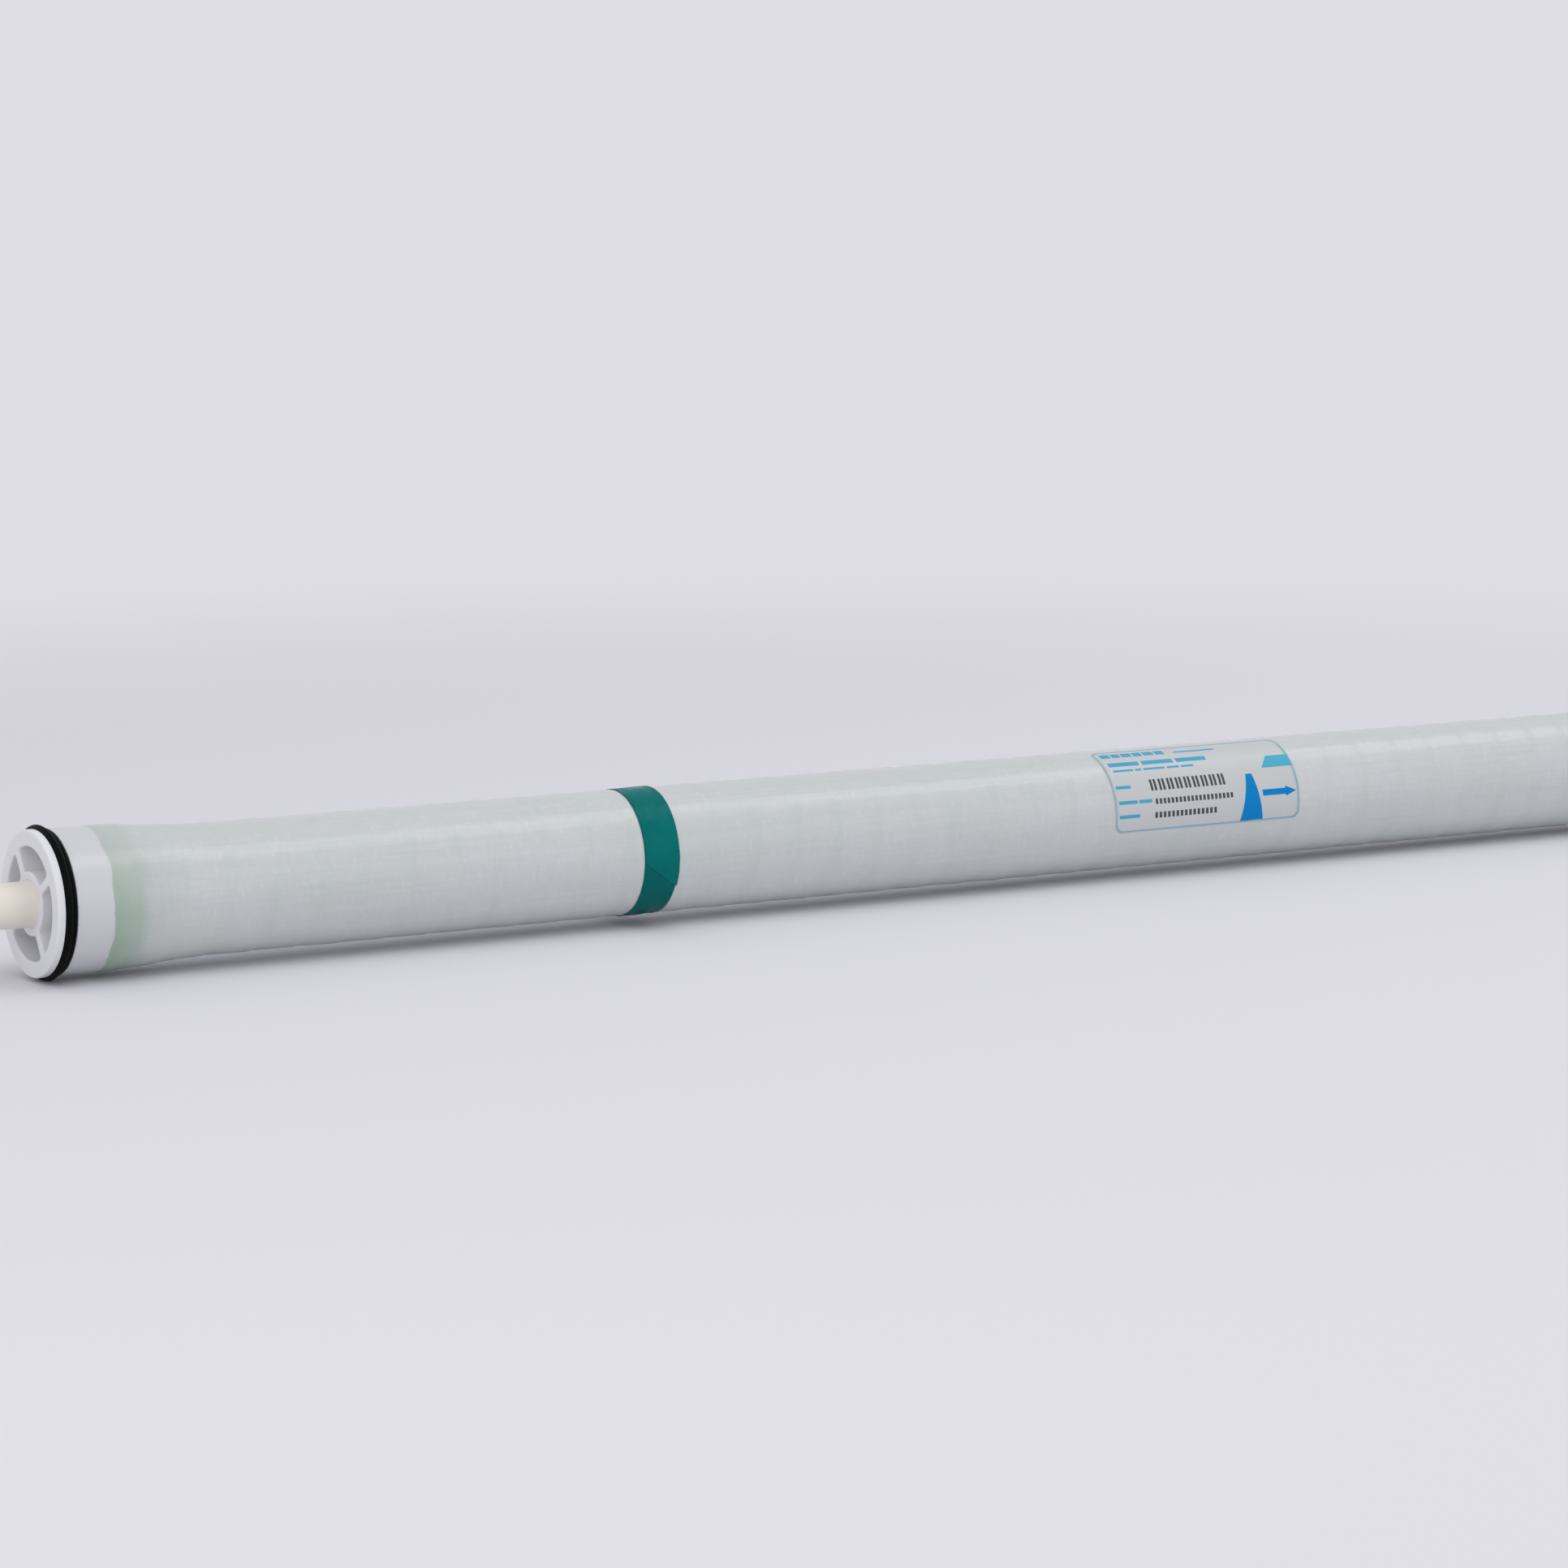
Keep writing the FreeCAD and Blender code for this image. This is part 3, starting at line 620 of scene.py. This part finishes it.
def make_tube():
    """The product tube, with crossed pairs of perforations under the roll."""
    half = -TUBE_LOW.x
    profile = softened((
        (-half, TUBE_END_RADIUS, 1.0 * MM),
        (-FACE, TUBE_END_RADIUS, 0.15 * MM),
        (-FACE, TUBE_RADIUS, 0.1 * MM),
        (FACE, TUBE_RADIUS, 0.1 * MM),
        (FACE, TUBE_END_RADIUS, 0.15 * MM),
        (half, TUBE_END_RADIUS, 1.0 * MM),
        (half, TUBE_BORE_RADIUS, 0.5 * MM),
        (-half, TUBE_BORE_RADIUS, 0.5 * MM),
    ))
    tube = lathe("product_tube", profile, segments=128)
    drills = bmesh.new()
    for row in range(4):
        place = Vector((PERFORATION_START - ROLL_END + row * PERFORATION_PITCH / 2, 0, 0))
        facing = Matrix.Rotation(math.radians(90 * (row % 2)), 4, "X")
        bmesh.ops.create_cone(drills, cap_ends=True, segments=24, radius1=PERFORATION_RADIUS,
                              radius2=PERFORATION_RADIUS, depth=4 * TUBE_RADIUS,
                              matrix=Matrix.Translation(place) @ facing)
    cut(tube, drills)
    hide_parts("permeate_tube")
    recipe = plain_plastic("tube_plastic", (0.845, 0.785, 0.70), 0.34, mottle=0.02)
    recipe.set(Specular_IOR_Level=0.4)
    use(tube, recipe)


# ---------------------------------------------------------------- teal band
BAND_FILM = 0.09 * MM
BAND_GLUE = 0.02 * MM
BAND_CUT_SLANT = 24                     # degrees round, from the one edge to the other
BAND_STEPS_ACROSS = 10


def band_material(name, dark, light):
    """Glossy tape, cloudy in colour and drawn into fine wrinkles."""
    recipe = Recipe(name, light, 0.3)
    clouds = recipe.streaks((70, 70, 70), detail=4)
    recipe.colour(recipe.mix(clouds, dark, light))
    fine = recipe.streaks((300, 110, 110), detail=3)
    recipe.roughen(recipe.ramp(fine, (0.4, 0), (0.6, 1)), 0.14, 0.5)
    recipe.bump((fine, 0.09 * MM), (recipe.streaks((900, 900, 900)), 0.01 * MM))
    recipe.set(Specular_IOR_Level=0.06)
    return recipe.material


def make_band():
    """Two turns of tape, the outer one ending in a slanting cut."""
    bm = bmesh.new()
    width = BAND_HIGH.x - BAND_LOW.x
    turns = (
        # how far along X it lies, its radius, and where it starts and how far it goes, in degrees
        (-0.3 * MM, BODY_RADIUS + BAND_GLUE, -60, 360),
        (0.3 * MM, BODY_RADIUS + BAND_GLUE + BAND_FILM, -15, 170),
    )
    for number, (shift, radius, start, sweep) in enumerate(turns):
        columns = int(sweep / 2)
        closed = sweep == 360
        layers = []
        for lift in (BAND_FILM, 0):
            rows = []
            for column in range(columns + (0 if closed else 1)):
                angle = start + sweep * column / columns
                from_cut = 1 if closed else min(1, column / 6)
                row = []
                for across in range(BAND_STEPS_ACROSS + 1):
                    share = across / BAND_STEPS_ACROSS
                    slant = (0.5 - share) * BAND_CUT_SLANT * (1 - from_cut)
                    spot = angle + slant
                    waver = 0.12 * MM * noise.noise(Vector((spot / 9, shift * 9000, share > 0.5)))
                    x = BAND_LOW.x + shift + waver + width * share
                    wrinkle = 0.03 * MM * noise.noise(Vector((x * 600, spot / 5, 0)))
                    curl = 0.10 * MM * (1 - from_cut) ** 2
                    height = radius + lift + relief(x, spot) + WIND_STEP / 2 + wrinkle + curl
                    row.append(bm.verts.new(on_ring(x, height, spot)))
                rows.append(row)
            layers.append(rows)
        top, bottom = layers
        before = set(bm.faces)
        for index in range(len(top) if closed else len(top) - 1):
            after = (index + 1) % len(top)
            strip(bm, top[index], top[after], closed=False)
            strip(bm, bottom[after], bottom[index], closed=False)
            for end in (0, -1):
                bm.faces.new((top[index][end], top[after][end], bottom[after][end],
                              bottom[index][end]))
        if not closed:
            for row in (0, -1):
                strip(bm, top[row], bottom[row], closed=False)
        for face in set(bm.faces) - before:
            face.material_index = number
    band = finished("teal_band_tape", bm)
    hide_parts("colour_band")
    band.data.materials.append(band_material("band_tape", (0.0, 0.105, 0.105), (0.0, 0.145, 0.14)))
    band.data.materials.append(band_material("band_tape_outer", (0.0, 0.125, 0.12),
                                             (0.0, 0.175, 0.165)))


# ---------------------------------------------------------------- label
FILM = 0.05 * MM
LABEL_RADIUS = BODY_RADIUS + 0.08 * MM
LABEL_LENGTH = LABEL_HIGH.x - LABEL_LOW.x
LABEL_HEIGHT = math.radians(LABEL_ARC) * LABEL_RADIUS


def on_label(u, v, lift):
    """A point of the label: u along the element, v up from its lower edge, both in metres."""
    angle = LABEL_MIDDLE - LABEL_ARC / 2 + math.degrees(v / LABEL_RADIUS)
    x = LABEL_LOW.x + u
    wave = 0.04 * MM * noise.noise(on_ring(x, LABEL_RADIUS, angle) * 60)
    return on_ring(x, LABEL_RADIUS + wave + lift, angle)


def patch(bm, left, right, bottom, top, lift, material=0, step=1.0 * MM):
    """A bent field between two side curves, given as functions of v."""
    rows = max(1, math.ceil((top - bottom) / step))
    columns = max(1, math.ceil((right(top) - left(top)) / (3 * MM)))
    grid = []
    for row in range(rows + 1):
        v = bottom + (top - bottom) * row / rows
        start, end = left(v), right(v)
        grid.append([bm.verts.new(on_label(start + (end - start) * c / columns, v, lift))
                     for c in range(columns + 1)])
    before = set(bm.faces)
    for row, following in zip(grid, grid[1:]):
        strip(bm, row, following, closed=False)
    for face in set(bm.faces) - before:
        face.material_index = material


def rounded_side(edge, inward, bottom, top, corner):
    """A side curve that is straight between two rounded corners."""
    def side(v):
        reach = max(0.0, corner - (v - bottom), corner - (top - v))
        return edge + inward * (corner - math.sqrt(max(0.0, corner ** 2 - reach ** 2)))
    return side


def sloping(u_low, v_low, u_high, v_high):
    """A straight side curve through two points."""
    return lambda v: u_low + (u_high - u_low) * (v - v_low) / (v_high - v_low)


def make_label():
    """The bare film, with rounded corners."""
    bm = bmesh.new()
    left = rounded_side(0.0, 1, 0, LABEL_HEIGHT, LABEL_CORNER)
    right = rounded_side(LABEL_LENGTH, -1, 0, LABEL_HEIGHT, LABEL_CORNER)
    patch(bm, left, right, 0, LABEL_HEIGHT, FILM, step=0.5 * MM)
    film = finished("label_film", bm)
    thickness = film.modifiers.new("film", "SOLIDIFY")
    thickness.thickness = FILM
    thickness.offset = -1
    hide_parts("label")
    recipe = Recipe("label_film", (0.575, 0.595, 0.60), 0.36)
    clouds = recipe.streaks((40, 60, 60), detail=3)
    recipe.colour(recipe.mix(clouds, (0.525, 0.55, 0.55), (0.555, 0.57, 0.58)))
    fine = recipe.streaks((500, 200, 200), detail=3)
    recipe.roughen(fine, 0.30, 0.50)
    recipe.bump((fine, 0.015 * MM))
    use(film, recipe)


# The inks, in the order of their materials.
INKS = {
    "outline": (0.20, 0.42, 0.56),
    "deep": (0.0, 0.215, 0.55),
    "light": (0.07, 0.41, 0.58),
    "text": (0.07, 0.37, 0.56),
    "black": (0.075, 0.077, 0.082),
}
INK_NUMBER = {name: number for number, name in enumerate(INKS)}


def make_print():
    """Generic print: outline, bars for lines of text, colour fields and a flow arrow."""
    bm = bmesh.new()
    lift = FILM + 0.03 * MM             # clear of the film
    inset = 0.4 * MM                    # of the outline, from the film's edge
    line = 0.55 * MM                    # the outline's width

    def field(left, right, v_low, v_high, ink):
        """A field between two side curves."""
        patch(bm, left, right, v_low, v_high, lift, INK_NUMBER[ink], step=0.5 * MM)

    def bar(u, v, width, height, ink):
        """An upright four-sided field, by the middle of its left side."""
        field(lambda _: u, lambda _: u + width, v - height / 2, v + height / 2, ink)

    def words(u, v, lengths, height, gap, ink):
        """A line of text as a row of bars; all sizes here are in millimetres."""
        for length in lengths:
            bar(u * MM, v * MM, length * MM, height * MM, ink)
            u += length + gap

    # The outline, with its corners rounded like the film's.
    low, high = inset, LABEL_HEIGHT - inset
    for edge, inward in ((inset, 1), (LABEL_LENGTH - inset, -1)):
        sides = [rounded_side(edge, inward, low, high, LABEL_CORNER),
                 rounded_side(edge + inward * line, inward, low + line, high - line,
                              LABEL_CORNER - line)]
        field(*sides[::inward], low + line, high - line, "outline")
    for v in (low, high - line):
        bar(inset + LABEL_CORNER * 0.7, v + line / 2, LABEL_LENGTH - 2 * inset - LABEL_CORNER * 1.4,
            line, "outline")

    # Head lines, then three rows of a caption and its value.
    words(3.5, 41.2, (5.2, 4.6, 5.4, 4.8, 5.6, 5.0), 3.4, 1.0, "text")
    words(44.5, 40.4, (23,), 1.1, 0, "text")
    words(3.8, 34.2, (17, 17.5, 17), 2.6, 1.8, "text")
    words(4.6, 30.2, (11, 3.5, 12, 7, 7), 1.2, 1.2, "text")
    words(2.2, 21.4, (8.4,), 1.5, 0, "text")
    for character in range(9):
        words(21.6 + 4.85 * character, 21.5, (1.3, 1.3), 5.6, 0.8, "black")
    words(2.3, 14.1, (10.4, 7.2), 1.6, 1.0, "text")
    words(22.9, 13.6, [1.35] * 20, 2.5, 0.9, "black")
    words(2.2, 7.6, (11.4,), 1.6, 0, "text")
    words(22.2, 7.3, [1.45] * 15, 2.7, 0.95, "black")

    # Two colour fields and the arrow that gives the flow's direction.
    field(sloping(71.0 * MM, 0, 76.5 * MM, 23 * MM), sloping(84.5 * MM, 0, 80.0 * MM, 23 * MM),
          low, 23 * MM, "deep")
    field(sloping(87.0 * MM, 25.5 * MM, 92.5 * MM, 32.2 * MM), lambda _: LABEL_LENGTH - inset,
          25.5 * MM, 32.2 * MM, "light")
    arrow = 13.3 * MM
    bar(84.2 * MM, arrow, 13.5 * MM, 2.9 * MM, "deep")
    neck, head, spread = 97.5 * MM, 6.0 * MM, 2.4 * MM      # the head's foot, length, half-width
    field(lambda _: neck, lambda v: neck + head * (1.02 - abs(v - arrow) / spread),
          arrow - spread, arrow + spread, "deep")

    ink = finished("label_print", bm)
    for name, colour in INKS.items():
        recipe = plain_plastic(f"label_ink_{name}", colour, 0.4, mottle=0.06)
        recipe.set(Specular_IOR_Level=0.1)
        ink.data.materials.append(recipe.material)


# ---------------------------------------------------------------- inner sheets, kept from the CAD
def dress_inner_sheets():
    """Materials for the leaf pack and the fixing tape, which show through the end caps."""
    looks = {"membrane_envelope": ((0.78, 0.76, 0.70), (1200, 300, 300)),
             "feed_spacer": ((0.62, 0.64, 0.65), (700, 700, 700)),
             "end_tapes": ((0.27, 0.42, 0.30), (400, 120, 120))}
    recipes = {}
    for key, (colour, scale) in looks.items():
        recipe = Recipe(key, colour, 0.6)
        fine = recipe.streaks(scale, detail=3)
        dark = tuple(c * 0.8 for c in colour)
        recipe.colour(recipe.mix(fine, dark, colour))
        recipe.roughen(fine, 0.5, 0.75)
        recipe.bump((fine, 0.1 * MM))
        recipes[key] = recipe
    for name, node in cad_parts.items():
        for key, recipe in recipes.items():
            if name.startswith(key):
                for index in range(len(node.data.materials)):
                    node.data.materials[index] = recipe.material


# ---------------------------------------------------------------- stage, light and camera
BACKGROUND = (0.735, 0.722, 0.785)
FLOOR_FADE = 4.0                        # metres from the middle, the unit of the fade's ramp
# The element lies on its seal at one end and on the brine cap at the other.
FLOOR_SLOPE = (-CAP_RADIUS - FLOOR) / (FACE - SEAL_LOW.x)
WORLD_STRENGTH = 0.76
# Each lamp's place, target, size and power in watts.
LAMPS = {
    "overhead": ((0.55, -0.60, 1.9), (0.15, 0, 0), (3.6, 0.7), 12),
    "front_fill": ((0.6, -2.6, 0.9), (0.1, 0, 0), (2.6, 1.6), 5),
    "left_fill": ((-1.5, -1.0, 0.6), (-0.45, 0, 0), (0.8, 0.8), 2.5),
}
CAMERA_PLACE = (-1.221456, -1.823409, 0.313043)
CAMERA_YAW = 0.5444
CAMERA_PITCH = 0.1347
CAMERA_LENS = 110.747


def make_floor():
    """A pale floor that keeps the shadow, and turns into the plain background further off."""
    bm = bmesh.new()
    bmesh.ops.create_circle(bm, cap_ends=True, radius=30, segments=96)
    for vert in bm.verts:
        vert.co.z = FLOOR + (vert.co.x - SEAL_LOW.x) * FLOOR_SLOPE
    mesh = bpy.data.meshes.new("floor")
    bm.to_mesh(mesh)
    bm.free()
    floor = bpy.data.objects.new("floor", mesh)
    bpy.context.scene.collection.objects.link(floor)
    recipe = Recipe("paper_floor", (0.745, 0.733, 0.782), 0.8)
    recipe.set(Specular_IOR_Level=0.02)
    fibres = recipe.streaks((300, 300, 300), detail=3)
    recipe.bump((fibres, 0.02 * MM))
    radial = recipe.add("ShaderNodeVectorMath", operation="LENGTH")
    recipe.link(recipe.place, radial.inputs[0])
    distance = recipe.math("DIVIDE", radial.outputs["Value"], FLOOR_FADE)
    share = recipe.ramp(distance, (0.16, 0), (0.42, 1), smooth=True)
    glow = recipe.add("ShaderNodeEmission")
    glow.inputs["Color"].default_value = (*BACKGROUND, 1)
    glow.inputs["Strength"].default_value = 1
    blend = recipe.add("ShaderNodeMixShader")
    recipe.link(share, blend.inputs[0])
    recipe.link(recipe.shader.outputs[0], blend.inputs[1])
    recipe.link(glow.outputs[0], blend.inputs[2])
    recipe.link(blend.outputs[0], recipe.tree.nodes["Material Output"].inputs["Surface"])
    floor.data.materials.append(recipe.material)


def make_world():
    """Even light, behind which the camera and reflections see the plain background."""
    world = bpy.data.worlds.new("studio")
    bpy.context.scene.world = world
    world.use_nodes = True
    tree = world.node_tree
    light = tree.nodes["Background"]
    light.inputs["Color"].default_value = (0.97, 0.98, 1, 1)
    light.inputs["Strength"].default_value = WORLD_STRENGTH
    seen = tree.nodes.new("ShaderNodeBackground")
    seen.inputs["Color"].default_value = (*BACKGROUND, 1)
    seen.inputs["Strength"].default_value = 1
    path = tree.nodes.new("ShaderNodeLightPath")
    shown = path.outputs["Is Camera Ray"]
    for ray in ("Is Glossy Ray", "Is Transmission Ray"):
        either = tree.nodes.new("ShaderNodeMath")
        either.operation = "MAXIMUM"
        tree.links.new(shown, either.inputs[0])
        tree.links.new(path.outputs[ray], either.inputs[1])
        shown = either.outputs[0]
    blend = tree.nodes.new("ShaderNodeMixShader")
    tree.links.new(shown, blend.inputs[0])
    tree.links.new(light.outputs[0], blend.inputs[1])
    tree.links.new(seen.outputs[0], blend.inputs[2])
    tree.links.new(blend.outputs[0], tree.nodes["World Output"].inputs["Surface"])


def softbox(name, place, target, size, power):
    """A rectangular lamp, facing its target."""
    data = bpy.data.lights.new(name, "AREA")
    data.shape = "RECTANGLE"
    data.size, data.size_y = size
    data.energy = power
    lamp = bpy.data.objects.new(name, data)
    bpy.context.scene.collection.objects.link(lamp)
    lamp.location = place
    lamp.rotation_euler = (Vector(target) - Vector(place)).to_track_quat("-Z", "Y").to_euler()


def make_camera():
    """The photograph's viewpoint, worked out from the 61 mm cap and the body's two edges."""
    data = bpy.data.cameras.new("camera")
    camera = bpy.data.objects.new("camera", data)
    bpy.context.scene.collection.objects.link(camera)
    camera.location = CAMERA_PLACE
    camera.rotation_euler = (math.pi / 2 - CAMERA_PITCH, 0, -CAMERA_YAW)
    data.sensor_width = 36
    data.lens = CAMERA_LENS
    bpy.context.scene.camera = camera


make_camera()
make_floor()
make_world()
for lamp_name, lamp in LAMPS.items():
    softbox(lamp_name, *lamp)
bpy.context.scene.view_settings.view_transform = "Standard"

make_wrap()
make_cap("feed_cap", "feed_end_cap", -1)
make_cap("brine_cap", "brine_end_cap", 1)
make_seal()
make_tube()
make_band()
make_label()
make_print()
dress_inner_sheets()
